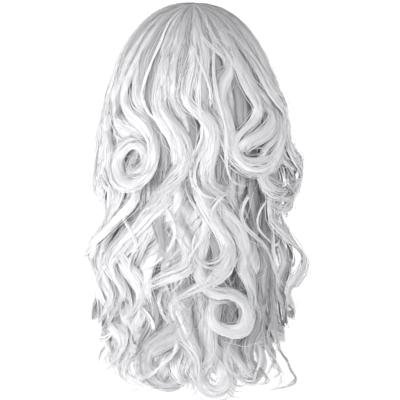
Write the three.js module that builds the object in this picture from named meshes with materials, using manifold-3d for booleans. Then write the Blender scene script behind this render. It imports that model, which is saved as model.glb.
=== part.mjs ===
// Long curly costume wig: a hollow cloth cap with wavy hair sewn on in tiers.
// Millimetres, +Z up. The back of the head faces -Y and the face +Y, so +X is the wearer's right.
// The origin is the inside top of the cap, where it sits on the crown of the head.

import * as THREE from "three";
import { mergeVertices } from "three/addons/utils/BufferGeometryUtils.js";
import Module from "manifold-3d";

const wasm = await Module();
wasm.setup();

// Cap
const HEAD_HALF_WIDTH = 76;
const HEAD_HALF_DEPTH = 95;
const CROWN_HEIGHT = 88;
const CAP_WALL = 1.8;
const CAP_SKIRT = 40;
const CAP_SEGMENTS = 28;
const CAP_ROWS = 6;
const NAPE_TUCK = 0.06;

// Hair
const EQUATOR_Z = -CROWN_HEIGHT;
const DOME_RADIUS = 100;
const HANG_TUCK = 8;
const HANG_FALL = 200;
const LOCK_SIDES = 5;
const LOCK_STEP = 25;
const PATH_STEP = 3;
const LEAST_RADIUS = 20;
const CROWN_POINT_Y = -30;
const FRINGE_ROOT_Y = 76;
const PARTING_FROM = 55;
const PARTING_TO = 134;
const WAVE_RAMP = 90;
const HOOK_POWER = 1.2;
const SHEET_ROW = 48;
const SHEET_WALL = 2.4;
const SHEET_NOTCH = 30;
const SINK_START = 20;
const SINK_RAMP = 80;

// Lower edge of the cap, seen from the side: forehead, temple, ear tab, ear, nape
const RIM = [
  { y: 130, z: -34 },
  { y: 90, z: -38 },
  { y: 70, z: -58 },
  { y: 56, z: -86 },
  { y: 43, z: -104 },
  { y: 27, z: -105 },
  { y: 11, z: -92 },
  { y: -14, z: -89 },
  { y: -36, z: -101 },
  { y: -64, z: -116 },
  { y: -100, z: -123 },
  { y: -140, z: -123 },
];

// How far each tier's locks lie outside the cap, down the fall of the hair. Fall is zero at the widest part of
// the head, negative over the crown. Back is the share of that distance kept behind the head.
const LAYERS = [
  { fall: -160, crown: 12, middle: 3, nape: 2, side: 3, back: 1 },
  { fall: -60, crown: 13, middle: 3, nape: 2, side: 3, back: 1 },
  { fall: -20, crown: 17, middle: 4, nape: 2, side: 4, back: 1 },
  { fall: 0, crown: 21, middle: 9, nape: 3, side: 8, back: 1 },
  { fall: 40, crown: 31, middle: 16, nape: 5, side: 12, back: 0.92 },
  { fall: 80, crown: 40, middle: 22, nape: 8, side: 15, back: 0.87 },
  { fall: 120, crown: 47, middle: 28, nape: 10, side: 18, back: 0.85 },
  { fall: 168, crown: 47, middle: 29, nape: 11, side: 21, back: 0.85 },
  { fall: 215, crown: 46, middle: 48, nape: 14, side: 36, back: 0.85 },
  { fall: 300, crown: 46, middle: 49, nape: 22, side: 40, back: 0.85 },
  { fall: 335, crown: 46, middle: 46, nape: 39, side: 38, back: 0.85 },
  { fall: 365, crown: 46, middle: 46, nape: 37, side: 35, back: 0.85 },
  { fall: 400, crown: 46, middle: 46, nape: 30, side: 32, back: 0.85 },
];

// Half width and half thickness of a lock from its root to its tip
const CROWN_SECTIONS = [
  { along: 0, width: 4, thick: 3 },
  { along: 0.38, width: 12, thick: 3 },
  { along: 0.52, width: 19, thick: 7.5 },
  { along: 0.88, width: 14, thick: 7.5 },
  { along: 1, width: 4, thick: 3 },
];
const MIDDLE_SECTIONS = [
  { along: 0, width: 9, thick: 1.6 },
  { along: 0.35, width: 14, thick: 5 },
  { along: 0.6, width: 19, thick: 7.5 },
  { along: 0.88, width: 15, thick: 7.5 },
  { along: 1, width: 4, thick: 3 },
];
const NAPE_SECTIONS = [
  { along: 0, width: 8, thick: 1.2 },
  { along: 0.4, width: 12, thick: 5 },
  { along: 0.72, width: 18, thick: 8.5 },
  { along: 0.92, width: 13, thick: 7.5 },
  { along: 1, width: 4, thick: 3 },
];

// Locks of each tier: the way round from the back in degrees, the length, how far the heading swings to either
// side, where the first wave starts and how long a wave is. A hook winds up the free end by so many degrees.
const CROWN_LOCKS = [
  { at: -136, length: 305, swing: 30, shift: 10, wave: 130 },
  { at: -112, length: 310, swing: 32, shift: 16, wave: 130 },
  { at: -88, length: 315, swing: 36, shift: 20, wave: 130 },
  { at: -62, length: 325, swing: 52, shift: 10, wave: 150 },
  { at: -39, length: 417, swing: 58, shift: 34, wave: 130, hook: -400, hookLength: 180 },
  { at: -22, length: 312, swing: 45, shift: 0, wave: 150 },
  { at: -3, length: 312, swing: 38, shift: -6, wave: 125 },
  { at: 20, length: 310, swing: 26, shift: 45, wave: 140 },
  { at: 48, length: 384, swing: 20, shift: 0, wave: 150, hook: -380, hookLength: 165 },
  { at: 72, length: 312, swing: 36, shift: 20, wave: 110 },
  { at: 94, length: 315, swing: 36, shift: 20, wave: 120 },
  { at: 114, length: 310, swing: 32, shift: 16, wave: 130 },
  { at: 136, length: 305, swing: 30, shift: 10, wave: 130 },
];
const MIDDLE_LOCKS = [
  { at: -92, length: 315, swing: -40, shift: 40, wave: 130 },
  { at: -66, length: 320, swing: 50, shift: 60, wave: 140 },
  { at: -42, length: 325, swing: 50, shift: 90, wave: 150 },
  { at: -18, length: 330, swing: 40, shift: 20, wave: 150, hook: -110, hookLength: 60 },
  { at: 6, length: 330, swing: 40, shift: 24, wave: 150 },
  { at: 29, length: 455, swing: 40, shift: 87, wave: 150, hook: -370, hookLength: 150 },
  { at: 50, length: 330, swing: 34, shift: 40, wave: 135 },
  { at: 72, length: 335, swing: 45, shift: 30, wave: 140 },
  { at: 92, length: 315, swing: 40, shift: 40, wave: 130 },
];
const NAPE_LOCKS = [
  { at: -88, length: 398, swing: -40, shift: 40, wave: 120, hook: 150, hookLength: 70 },
  { at: -64, length: 412, swing: 42, shift: 40, wave: 120, hook: -160, hookLength: 75 },
  { at: -40, length: 434, swing: 45, shift: 60, wave: 110, hook: 200, hookLength: 90 },
  { at: -20, length: 430, swing: 42, shift: 10, wave: 110, hook: -200, hookLength: 80 },
  { at: 0, length: 430, swing: 40, shift: 20, wave: 100, hook: 160, hookLength: 70 },
  { at: 22, length: 426, swing: 38, shift: 20, wave: 110, hook: -160, hookLength: 70 },
  { at: 44, length: 430, swing: 42, shift: 20, wave: 110, hook: -200, hookLength: 90 },
  { at: 66, length: 416, swing: 42, shift: 40, wave: 120, hook: -160, hookLength: 75 },
  { at: 88, length: 398, swing: 40, shift: 40, wave: 120, hook: -150, hookLength: 70 },
];
const SIDE_LOCKS = [
  { at: 115, length: 400, swing: 36, shift: 40, wave: 130 },
  { at: 129, length: 390, swing: 34, shift: 40, wave: 130 },
  { at: 143, length: 370, swing: 30, shift: 40, wave: 130 },
];

// Tiers: how far round the sheet runs, the falls of its sewn edge and its hem, how far its ribs stand out and
// how far it sinks behind the locks, and the falls where the locks come free and begin to wave
const TIERS = {
  crown: { layer: "crown", from: -144, to: 144, root: -154, hem: 36, rib: 5, sink: 0, free: -26, waveFrom: -70 },
  middle: { layer: "middle", from: -97, to: 97, root: -30, hem: 66, rib: 1.5, sink: 0, free: 24, waveFrom: 0 },
  nape: { layer: "nape", from: -95, to: 95, root: 12, hem: 362, rib: 1, sink: 12, free: 56, waveFrom: 50 },
  side: { layer: "side", from: 112, to: 148, root: -16, hem: 310, rib: 1, sink: 11, free: 26, waveFrom: 0 },
};

const CAP_COLOUR = 0xd8d6d4;
const HAIR_COLOUR = 0xe2e2e6;

const { clamp, degToRad, lerp, smoothstep } = THREE.MathUtils;

// A column of a table at a place between its rows
function columnAt(table, key, column, place) {
  const last = table.length - 1;
  const next = clamp(table.findIndex((row) => row[key] > place), 1, last);
  const above = place >= table[last][key] ? last : next;
  const from = table[above - 1];
  const to = table[above];
  const share = clamp((place - from[key]) / (to[key] - from[key]), 0, 1);
  return lerp(from[column], to[column], share);
}

// A point of the hair at an azimuth from the back and a fall, with the direction out of the hair
function hairPoint(azimuth, fall, offset, rootY = 0) {
  const capOffset = CAP_WALL + offset;
  const width = HEAD_HALF_WIDTH + capOffset;
  const hang = clamp(fall / HANG_FALL, 0, 1) * HANG_TUCK;
  const depth = HEAD_HALF_DEPTH + capOffset * columnAt(LAYERS, "fall", "back", fall) - hang;
  const height = CROWN_HEIGHT + capOffset;
  const reach = fall < 0 ? Math.cos(fall / DOME_RADIUS) : 1;
  const x = width * Math.sin(azimuth) * reach;
  const y = -depth * Math.cos(azimuth) * reach + rootY * (1 - reach);
  const rise = Math.sqrt(Math.max(0, 1 - (x / width) ** 2 - (y / depth) ** 2));
  const z = fall < 0 ? EQUATOR_Z + height * rise : EQUATOR_Z - fall;
  const lift = fall < 0 ? rise / height : 0;
  const outward = new THREE.Vector3(x / width ** 2, y / depth ** 2, lift).normalize();
  return { point: new THREE.Vector3(x, y, z), outward, radius: Math.max(LEAST_RADIUS, Math.hypot(x, y)) };
}

// The way a lock heads at a length from its root: zero is straight down, positive to the right
function headingAt(lock, tier, length) {
  const hookStart = lock.length - (lock.hookLength ?? 0);
  const waved = Math.min(length, hookStart) + tier.root;
  const ramp = smoothstep(waved - tier.waveFrom, 0, WAVE_RAMP);
  const wave = Math.sin((2 * Math.PI * (waved - lock.shift)) / lock.wave);
  const wound = lock.hook ? clamp((length - hookStart) / lock.hookLength, 0, 1) ** HOOK_POWER : 0;
  return degToRad(lock.swing * ramp * wave + (lock.hook ?? 0) * wound);
}

// Evenly spaced stations down the middle of a lock, from where it leaves its sheet
function lockStations(lock, tier, rows) {
  const free = tier.free - tier.root;
  const between = (lock.length - free) / rows;
  const steps = Math.round(lock.length / PATH_STEP);
  const step = lock.length / steps;
  const rootY = rootYAt(tier, lock.at);
  const stations = [];
  let azimuth = degToRad(lock.at);
  let fall = tier.root;
  for (let i = 0; i <= steps; i++) {
    const offset = columnAt(LAYERS, "fall", tier.layer, fall);
    const station = hairPoint(azimuth, fall, offset, rootY);
    if (i * step >= free + stations.length * between - step / 2) {
      stations.push({ ...station, along: (i * step) / lock.length });
    }
    const heading = headingAt(lock, tier, i * step);
    azimuth += (step * Math.sin(heading)) / station.radius;
    fall += step * Math.cos(heading);
  }
  return stations;
}

// Where on the parting the crown is rooted: the crown point for the back, further forward for the sides
function rootYAt(tier, at) {
  const forward = smoothstep(Math.abs(at), PARTING_FROM, PARTING_TO);
  return tier.layer === "crown" ? lerp(CROWN_POINT_Y, FRINGE_ROOT_Y, forward) : 0;
}

function toSolid(geometry) {
  const bare = new THREE.BufferGeometry();
  bare.setAttribute("position", geometry.getAttribute("position"));
  bare.setIndex(geometry.getIndex());
  const merged = mergeVertices(bare, 1e-3);
  return new wasm.Manifold(
    new wasm.Mesh({
      numProp: 3,
      vertProperties: new Float32Array(merged.getAttribute("position").array),
      triVerts: new Uint32Array(merged.getIndex().array),
    }),
  );
}

function toGeometry(solid) {
  const mesh = solid.getMesh();
  const geometry = new THREE.BufferGeometry();
  geometry.setAttribute("position", new THREE.BufferAttribute(mesh.vertProperties, 3));
  geometry.setIndex(new THREE.BufferAttribute(mesh.triVerts, 1));
  geometry.computeVertexNormals();
  return geometry;
}

// The free end of a lock: a straight tapered bar bent along its stations
function lockSolid(lock, tier, sections) {
  const rows = Math.round((lock.length - tier.free + tier.root) / LOCK_STEP);
  const stations = lockStations(lock, tier, rows);
  const geometry = new THREE.CylinderGeometry(1, 1, 1, LOCK_SIDES, rows);
  const position = geometry.getAttribute("position");
  const tangent = new THREE.Vector3();
  const vertex = new THREE.Vector3();
  for (let i = 0; i < position.count; i++) {
    const row = Math.round((position.getY(i) + 0.5) * rows);
    const { point, outward, along } = stations[row];
    const before = stations[Math.max(0, row - 1)].point;
    const after = stations[Math.min(rows, row + 1)].point;
    tangent.subVectors(after, before).normalize();
    const across = new THREE.Vector3().crossVectors(tangent, outward).normalize();
    const out = new THREE.Vector3().crossVectors(across, tangent);
    const width = columnAt(sections, "along", "width", along);
    const thick = columnAt(sections, "along", "thick", along);
    vertex.copy(point);
    vertex.addScaledVector(across, position.getX(i) * width);
    vertex.addScaledVector(out, position.getZ(i) * thick);
    position.setXYZ(i, vertex.x, vertex.y, vertex.z);
  }
  return toSolid(geometry);
}

// The sheet of hair that a tier's locks grow out of: sewn to the cap along its upper edge, with a rib for each
// lock and a notch between two
function sheetSolid(tier, locks) {
  const columns = [tier.from];
  locks.forEach((lock, i) => {
    const next = locks[i + 1];
    columns.push(lock.at, next ? (lock.at + next.at) / 2 : tier.to);
  });
  const last = columns.length - 1;
  const rows = Math.ceil((tier.hem - tier.root) / SHEET_ROW);
  const geometry = new THREE.BoxGeometry(1, 1, 1, last, 1, rows);
  const position = geometry.getAttribute("position");
  for (let i = 0; i < position.count; i++) {
    const column = Math.round((position.getX(i) + 0.5) * last);
    const at = columns[column];
    const ridge = column % 2;
    const share = 0.5 - position.getZ(i);
    const fall = lerp(tier.root, tier.hem - SHEET_NOTCH * (1 - ridge), share);
    const sink = tier.sink * smoothstep(fall - tier.root - SINK_START, 0, SINK_RAMP);
    const wall = position.getY(i) < 0 ? SHEET_WALL / 2 + tier.rib * ridge * share : -SHEET_WALL / 2;
    const offset = columnAt(LAYERS, "fall", tier.layer, fall) - sink + wall;
    const { point } = hairPoint(degToRad(at), fall, offset, rootYAt(tier, at));
    position.setXYZ(i, point.x, point.y, point.z);
  }
  return toSolid(geometry);
}

function hairSolid(tier, locks, sections) {
  const freeEnds = locks.map((lock) => lockSolid(lock, tier, sections));
  return wasm.Manifold.union([sheetSolid(tier, locks), ...freeEnds]);
}

// Cap: a dome with a short skirt that tucks in at the nape, cut along its rim
function capSolid() {
  const inside = [];
  const outside = [];
  for (let row = 0; row <= CAP_ROWS; row++) {
    const polar = (Math.PI / 2) * (row / CAP_ROWS);
    inside.push(new THREE.Vector2(Math.sin(polar), EQUATOR_Z + CROWN_HEIGHT * Math.cos(polar)));
    outside.push(new THREE.Vector2(Math.sin(polar), EQUATOR_Z + (CROWN_HEIGHT + CAP_WALL) * Math.cos(polar)));
  }
  inside.push(new THREE.Vector2(1 - NAPE_TUCK, EQUATOR_Z - CAP_SKIRT));
  outside.push(new THREE.Vector2(1 - NAPE_TUCK, EQUATOR_Z - CAP_SKIRT));
  const hollow = toSolid(domeGeometry(inside, HEAD_HALF_WIDTH, HEAD_HALF_DEPTH));
  const dome = toSolid(domeGeometry(outside, HEAD_HALF_WIDTH + CAP_WALL, HEAD_HALF_DEPTH + CAP_WALL));
  return dome.subtract(hollow).subtract(rimCutter());
}

function domeGeometry(profile, halfWidth, halfDepth) {
  const upward = profile.toReversed();
  const floor = new THREE.Vector2(0, upward[0].y);
  const geometry = new THREE.LatheGeometry([floor, ...upward], CAP_SEGMENTS);
  geometry.rotateX(Math.PI / 2);
  geometry.scale(halfWidth, halfDepth, 1);
  return geometry;
}

// Everything below the rim, right across the cap
function rimCutter() {
  const rim = RIM.map(({ y, z }) => new THREE.Vector2(y, z));
  const shape = new THREE.Shape();
  shape.moveTo(rim[0].x, rim[0].y);
  shape.splineThru(rim.slice(1));
  shape.lineTo(rim[rim.length - 1].x, 2 * EQUATOR_Z);
  shape.lineTo(rim[0].x, 2 * EQUATOR_Z);
  shape.closePath();
  const across = 4 * HEAD_HALF_WIDTH;
  const geometry = new THREE.ExtrudeGeometry(shape, { depth: across, bevelEnabled: false, curveSegments: 2 });
  geometry.translate(0, 0, -across / 2);
  geometry.rotateX(Math.PI / 2);
  geometry.rotateZ(Math.PI / 2);
  return toSolid(geometry);
}

const wig = new THREE.Group();
wig.name = "curly_costume_wig";

function addPiece(name, solid, colour) {
  const material = new THREE.MeshStandardMaterial({ color: colour, roughness: 0.5 });
  const mesh = new THREE.Mesh(toGeometry(solid), material);
  mesh.name = name;
  wig.add(mesh);
}

const mirrored = SIDE_LOCKS.map((lock) => ({ ...lock, at: -lock.at, swing: -lock.swing })).reverse();
const leftSide = { ...TIERS.side, from: -TIERS.side.to, to: -TIERS.side.from };

addPiece("cap", capSolid(), CAP_COLOUR);
addPiece("crown_hair", hairSolid(TIERS.crown, CROWN_LOCKS, CROWN_SECTIONS), HAIR_COLOUR);
addPiece("middle_hair", hairSolid(TIERS.middle, MIDDLE_LOCKS, MIDDLE_SECTIONS), HAIR_COLOUR);
addPiece("nape_hair", hairSolid(TIERS.nape, NAPE_LOCKS, NAPE_SECTIONS), HAIR_COLOUR);
addPiece("left_side_hair", hairSolid(leftSide, mirrored, MIDDLE_SECTIONS), HAIR_COLOUR);
addPiece("right_side_hair", hairSolid(TIERS.side, SIDE_LOCKS, MIDDLE_SECTIONS), HAIR_COLOUR);

export default wig;
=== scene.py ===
import math

import bmesh
import bpy
import numpy as np
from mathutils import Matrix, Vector


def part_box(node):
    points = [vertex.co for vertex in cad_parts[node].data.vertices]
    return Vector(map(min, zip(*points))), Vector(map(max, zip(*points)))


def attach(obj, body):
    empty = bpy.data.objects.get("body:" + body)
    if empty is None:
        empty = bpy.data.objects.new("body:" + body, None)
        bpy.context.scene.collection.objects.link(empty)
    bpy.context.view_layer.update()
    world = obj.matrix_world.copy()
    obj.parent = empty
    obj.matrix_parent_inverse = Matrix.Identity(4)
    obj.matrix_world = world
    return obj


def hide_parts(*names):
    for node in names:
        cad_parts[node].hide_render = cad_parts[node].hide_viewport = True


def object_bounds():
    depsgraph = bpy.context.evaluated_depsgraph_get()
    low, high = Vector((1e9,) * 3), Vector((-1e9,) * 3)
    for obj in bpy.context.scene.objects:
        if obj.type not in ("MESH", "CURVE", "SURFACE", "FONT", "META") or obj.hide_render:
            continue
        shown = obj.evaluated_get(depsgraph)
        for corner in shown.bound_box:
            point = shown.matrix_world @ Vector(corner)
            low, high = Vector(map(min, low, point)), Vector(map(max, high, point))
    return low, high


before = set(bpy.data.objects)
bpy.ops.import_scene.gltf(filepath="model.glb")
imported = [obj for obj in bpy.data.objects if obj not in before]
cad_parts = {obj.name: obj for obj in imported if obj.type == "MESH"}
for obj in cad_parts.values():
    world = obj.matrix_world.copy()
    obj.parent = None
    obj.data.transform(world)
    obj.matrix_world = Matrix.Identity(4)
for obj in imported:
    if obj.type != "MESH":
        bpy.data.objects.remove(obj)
cadLow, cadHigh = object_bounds()
print("frame loaded:", sorted(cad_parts))

scene = bpy.context.scene
mm = 0.001  # the hair is laid out in millimetres and written in metres

# the head that the hair hangs round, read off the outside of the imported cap
capLow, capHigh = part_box("cap")
headForm = dict(
    halfWidth=capHigh.x / mm,
    halfDepth=-capLow.y / mm,
    topZ=capHigh.z / mm,
    widestZ=-88.0,
    domeRadius=100.0,
    hangTuck=8.0,
    hangFall=200.0,
    leastRadius=20.0,
    topFall=-161.0,
)

# how far each tier lies outside the cap down the fall of the hair; back is the share kept behind the head
hairLayers = dict(
    fall=[-160, -60, -20, 0, 40, 80, 120, 168, 215, 300, 335, 365, 400],
    crown=[12, 13, 17, 21, 31, 40, 47, 47, 46, 46, 46, 46, 46],
    middle=[3, 3, 4, 9, 16, 22, 28, 29, 48, 49, 46, 46, 46],
    nape=[2, 2, 2, 3, 5, 8, 10, 11, 14, 22, 39, 37, 30],
    side=[3, 3, 4, 8, 12, 15, 18, 21, 36, 40, 38, 35, 32],
    back=[1, 1, 1, 1, 0.92, 0.87, 0.85, 0.85, 0.85, 0.85, 0.85, 0.85, 0.85],
)


def smoothStep(x):
    x = np.clip(x, 0, 1)
    return x * x * (3 - 2 * x)


def hairPoint(azimuth, fall, offset, rootY):
    # a place in the hair from the way round the head, the way down and the distance off the cap
    width = headForm["halfWidth"] + offset
    tuck = np.clip(fall / headForm["hangFall"], 0, 1) * headForm["hangTuck"]
    depth = headForm["halfDepth"] + offset * np.interp(fall, hairLayers["fall"], hairLayers["back"]) - tuck
    height = headForm["topZ"] - headForm["widestZ"] + offset
    overCrown = fall < 0
    reach = np.where(overCrown, np.cos(fall / headForm["domeRadius"]), 1)
    x = width * np.sin(azimuth) * reach
    y = -depth * np.cos(azimuth) * reach + rootY * (1 - reach)
    rise = np.sqrt(np.maximum(0, 1 - (x / width) ** 2 - (y / depth) ** 2))
    z = headForm["widestZ"] + np.where(overCrown, height * rise, -fall)
    outward = np.stack([x / width**2, y / depth**2, np.where(overCrown, rise / height, 0)], -1)
    outward /= np.linalg.norm(outward, axis=-1, keepdims=True)
    return np.stack([x, y, z], -1), outward


def partingShare(tier, at):
    # how far forward along the parting the hair on this side is rooted
    parting = tier.get("parting")
    if not parting:
        return np.zeros_like(at)
    return smoothStep((np.abs(at) - parting["fromAt"]) / (parting["toAt"] - parting["fromAt"]))


def partingAt(tier, at):
    parting = tier.get("parting", dict(backY=0, frontY=0))
    return parting["backY"] + (parting["frontY"] - parting["backY"]) * partingShare(tier, at)


# locks traced from behind: grid squares across from the parting and down from the crown
tracing = dict(
    square=1.25,
    squareNear=0.068,
    crownFall=104.0,
    dropNear=7.0,
    passes=5,
    edgeShare=0.985,
    splineRadius=110.0,
    rootSpan=26.0,
    perSpan=12,
)
waving = dict(step=3.0, ramp=90.0, hookPower=1.2)


def layerAt(tier, fall):
    return np.interp(fall, hairLayers["fall"], hairLayers[tier["layer"]])


def seenPlace(tier, lock, across, down):
    # the way round and the way down of a place in the grid, which is smaller on the nearer hair
    azimuth = 0.0
    edge = tracing["edgeShare"]
    for _ in range(tracing["passes"]):
        near = math.cos(azimuth)
        square = tracing["square"] - tracing["squareNear"] * near
        fall = down * square - tracing["crownFall"] + tracing["dropNear"] * near
        reach = math.cos(min(fall, 0) / headForm["domeRadius"])
        halfWidth = (headForm["halfWidth"] + layerAt(tier, fall) + lock.get("over", 0)) * reach
        azimuth = math.asin(max(-edge, min(edge, across * square / halfWidth)))
    return azimuth, fall


def tracedLine(tier, lock):
    # a smooth line from the root through the traced places
    places = np.array([seenPlace(tier, lock, across, down) for across, down in lock["trace"]])
    root = np.array([places[0, 0] + math.radians(lock.get("rootTurn", 0)), tier["root"]])
    hidden = max(1, round((places[0, 1] - root[1]) / tracing["rootSpan"]))
    share = np.arange(hidden)[:, None] / hidden
    knots = np.concatenate([root + (places[0] - root) * share, places]) * [tracing["splineRadius"], 1]
    knots = np.concatenate([[2 * knots[0] - knots[1]], knots, [2 * knots[-1] - knots[-2]]])
    t = np.linspace(0, 1, tracing["perSpan"], endpoint=False)[:, None]
    spans = []
    for a, b, c, d in zip(knots[:-3], knots[1:-2], knots[2:-1], knots[3:]):
        bend = (2 * a - 5 * b + 4 * c - d) * t**2 + (3 * b - a - 3 * c + d) * t**3
        spans.append(0.5 * (2 * b + (c - a) * t + bend))
    line = np.concatenate(spans + [knots[-2:-1]])
    return line[:, 0] / tracing["splineRadius"], line[:, 1]


def wavedLine(tier, lock):
    # a line that swings from side to side on its way down
    azimuth, fall = math.radians(lock["at"]), tier["root"]
    hookLength = lock.get("hookLength", 0)
    hookStart = lock["length"] - hookLength
    turns, falls = [], []
    for i in range(int(lock["length"] / waving["step"]) + 1):
        turns.append(azimuth)
        falls.append(fall)
        s = i * waving["step"]
        waved = min(s, hookStart) + tier["root"]
        ramp = smoothStep((waved - tier["waveFrom"]) / waving["ramp"])
        wound = max(0, s - hookStart) / max(hookLength, 1)
        heading = lock["swing"] * ramp * math.sin(2 * math.pi * (waved - lock["shift"]) / lock["wave"])
        heading = math.radians(heading + lock.get("hook", 0) * wound ** waving["hookPower"])
        place, _ = hairPoint(np.array(azimuth), np.array(fall), layerAt(tier, fall), 0)
        radius = max(headForm["leastRadius"], math.hypot(place[0], place[1]))
        azimuth += waving["step"] * math.sin(heading) / radius
        fall += waving["step"] * math.cos(heading)
    # the ends come no lower than the tips of the wig
    falls = np.array(falls)
    lowest = tier["lowest"] - tier["cornerRise"] * (lock["at"] / tier["toAt"]) ** 2
    shrink = min(1, (lowest - tier["root"]) / np.ptp(falls))
    return np.array(turns), tier["root"] + (falls - tier["root"]) * shrink


# the rows along a strand, the room it has in a bend and how it lies in its lock
laying = dict(
    bendRoom=0.75,
    bendRows=26.0,
    rowPace=20.6,
    leastRows=16,
    mostRows=50,
    turnSpan=9,
    leastTurn=0.004,
    wanderFade=0.6,
    liftFrom=0.55,
    snugRoom=10.0,
    leastLens=0.1,
    rootSink=0.3,
    frizzOut=0.6,
    leastOff=0.8,
)


def lockPath(tier, lock):
    # the middle line of a lock by its length, with a pace that puts more rows in its bends
    azimuth, fall = tracedLine(tier, lock) if "trace" in lock else wavedLine(tier, lock)
    place, _ = hairPoint(azimuth, fall, layerAt(tier, fall), 0)
    radius = np.maximum(headForm["leastRadius"], np.hypot(place[:, 0], place[:, 1]))
    beside = np.diff(azimuth) * (radius[1:] + radius[:-1]) / 2
    s = np.concatenate([[0], np.cumsum(np.hypot(beside, np.diff(fall)))])
    heading = np.unwrap(np.arctan2(beside, np.diff(fall)))
    heading = np.interp(s, (s[1:] + s[:-1]) / 2, heading)
    pace = np.concatenate([[0], np.cumsum(np.diff(s) + laying["bendRows"] * np.abs(np.diff(heading)))])
    span = laying["turnSpan"]
    turn = np.convolve(np.abs(np.gradient(heading, s)), np.full(span, 1 / span), "same")
    room = laying["bendRoom"] / np.maximum(turn, laying["leastTurn"])
    rows = math.ceil(pace[-1] / laying["rowPace"])
    rows = int(np.clip(rows, laying["leastRows"], laying["mostRows"]))
    return dict(s=s, azimuth=azimuth, fall=fall, heading=heading, room=room, pace=pace / pace[-1], rows=rows)


def strandPaths(tier, strand, rows):
    # carries every strand of a tier along its lock
    shape = (len(strand["lock"]), rows + 1)
    s, along = np.empty(shape), np.empty(shape)
    line = {name: np.empty(shape) for name in ("azimuth", "fall", "heading", "room")}
    for i, path in enumerate(tier["paths"]):
        mine = strand["lock"] == i
        total = path["s"][-1]
        share = np.interp(np.linspace(0, 1, rows + 1), path["pace"], path["s"] / total)
        start, end = strand["start"][mine, None], strand["end"][mine, None] * total
        s[mine] = start + (end - start) * share
        slid = np.clip(s[mine] + strand["slide"][mine, None] * np.sin(math.pi * share), 0, total)
        for name, values in line.items():
            values[mine] = np.interp(slid, path["s"], path[name])
        along[mine] = s[mine] / total
    azimuth, fall, heading, room = line.values()
    column = {name: value[:, None] for name, value in strand.items()}
    rootY = partingAt(tier, np.degrees(azimuth[:, :1] + column["spread"]))
    layer = layerAt(tier, fall)
    middle, _ = hairPoint(azimuth, fall, layer, rootY)
    radius = np.maximum(headForm["leastRadius"], np.hypot(middle[..., 0], middle[..., 1]))
    gather = column["gathers"] * smoothStep((fall - tier["gatherFrom"]) / tier["gatherSpan"])
    sections = tier["sections"]
    halfWidth = np.minimum(room, np.interp(along, sections["along"], sections["width"]) * column["widen"])
    halfThick = np.interp(along, sections["along"], sections["thick"])
    free = smoothStep(along / laying["wanderFade"])
    wander = column["wander"] * free * np.sin(column["wanderTurn"] + 2 * math.pi * s / column["wanderLength"])
    frizz = column["frizz"] * free * np.sin(column["frizzTurn"] + 2 * math.pi * s / column["frizzLength"])
    beside = gather * column["u"] * halfWidth + wander + frizz
    lens = np.sqrt(np.maximum(laying["leastLens"], 1 - column["u"] ** 2))
    off = layer + column["v"] * lens * halfThick - tier["edgeDrop"] * column["edge"] ** 2 * (1 - gather)
    off = off + gather * (column["over"] + column["bulge"] * np.sin(heading))
    off = off - column["sink"] * (laying["rootSink"] + (1 - laying["rootSink"]) * free)
    off = off + column["lift"] * smoothStep((along - laying["liftFrom"]) / (1 - laying["liftFrom"]))
    point, outward = hairPoint(
        azimuth + (1 - gather) * column["spread"] + beside * np.cos(heading) / radius,
        np.maximum(fall - beside * np.sin(heading), headForm["topFall"]),
        np.maximum(off + laying["frizzOut"] * frizz, laying["leastOff"]),
        rootY,
    )
    snug = np.minimum(1, room / laying["snugRoom"])
    return point, outward, fall, np.sin(heading) * gather, snug


# what a tress of a lock is made of: satin ribbons, strands and fibres that lie on them, and strays
strandKinds = dict(
    ribbon=dict(
        perTress=1, underTress=1, halfWidth=3.6, halfThick=1.0,
        scatter=0.0, loose=0.3, short=0.08, tone=-0.02, vary=0.03,
    ),
    strand=dict(
        perTress=3, underTress=2, halfWidth=0.9, halfThick=0.34,
        scatter=1.0, loose=0.8, short=0.03, tone=0.0, vary=0.05,
    ),
    fibre=dict(
        perTress=3, underTress=0, halfWidth=0.52, halfThick=0.28,
        scatter=1.5, loose=1.3, short=0.0, tone=0.0, vary=0.08,
    ),
    stray=dict(
        perTress=2, underTress=0, halfWidth=0.3, halfThick=0.22,
        scatter=2.2, loose=6.0, short=0.0, tone=0.05, vary=0.12,
    ),
)


def lockColumn(locks, name, usual=0.0):
    return np.array([lock.get(name, usual) for lock in locks], float)


chance = dict(lengths=(0.82, 1.0), shorter=0.16, shifts=(0, 130), hookLengths=(55, 90), toneVary=0.03)


def chanceLocks(tier, rule, rng):
    # locks placed by chance: deep ones that show between the main locks, thin ones that stray over them
    places = np.linspace(tier["fromAt"], tier["toAt"], rule["count"] + 2)[1:-1]
    places = places[np.abs(places) >= rule.get("clear", 0)]
    lengths = rule["length"] * (1 - chance["shorter"] * (places / tier["toAt"]) ** 2)
    looks = {name: rule[name] for name in ("fullness", "widen", "slim", "under")}
    return [
        dict(
            looks,
            at=at + rng.normal(0, rule["stray"]),
            length=length * rng.uniform(*chance["lengths"]),
            swing=rng.choice([-1, 1]) * rng.uniform(*rule["swing"]),
            shift=rng.uniform(*chance["shifts"]),
            wave=rng.uniform(*rule["wave"]),
            hook=rng.choice([-1, 1]) * rng.uniform(*rule["hook"]),
            hookLength=rng.uniform(*chance["hookLengths"]),
            over=rng.uniform(*rule["over"]),
            tone=rng.normal(rule["tone"], chance["toneVary"]),
        )
        for at, length in zip(places, lengths)
    ]


tressing = dict(
    leastGap=2.5,
    edgeVary=0.06,
    edgeReach=0.92,
    height=0.6,
    deepVary=0.25,
    # painted shade: deeper tresses are darkened and higher ones lightened by their depth in the lock
    paintedDepthShade=0.12,
    toneVary=0.035,
    lockToneVary=0.03,
    shades=(0.3, 1.7),
    partingCrowd=0.9,
    endVary=0.025,
    mostEnd=0.1,
    slide=5.0,
    bulgeVary=0.2,
    wander=2.2,
    wanderLengths=(90, 160),
    turnOver=(0.5, 0.2),
)


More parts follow.
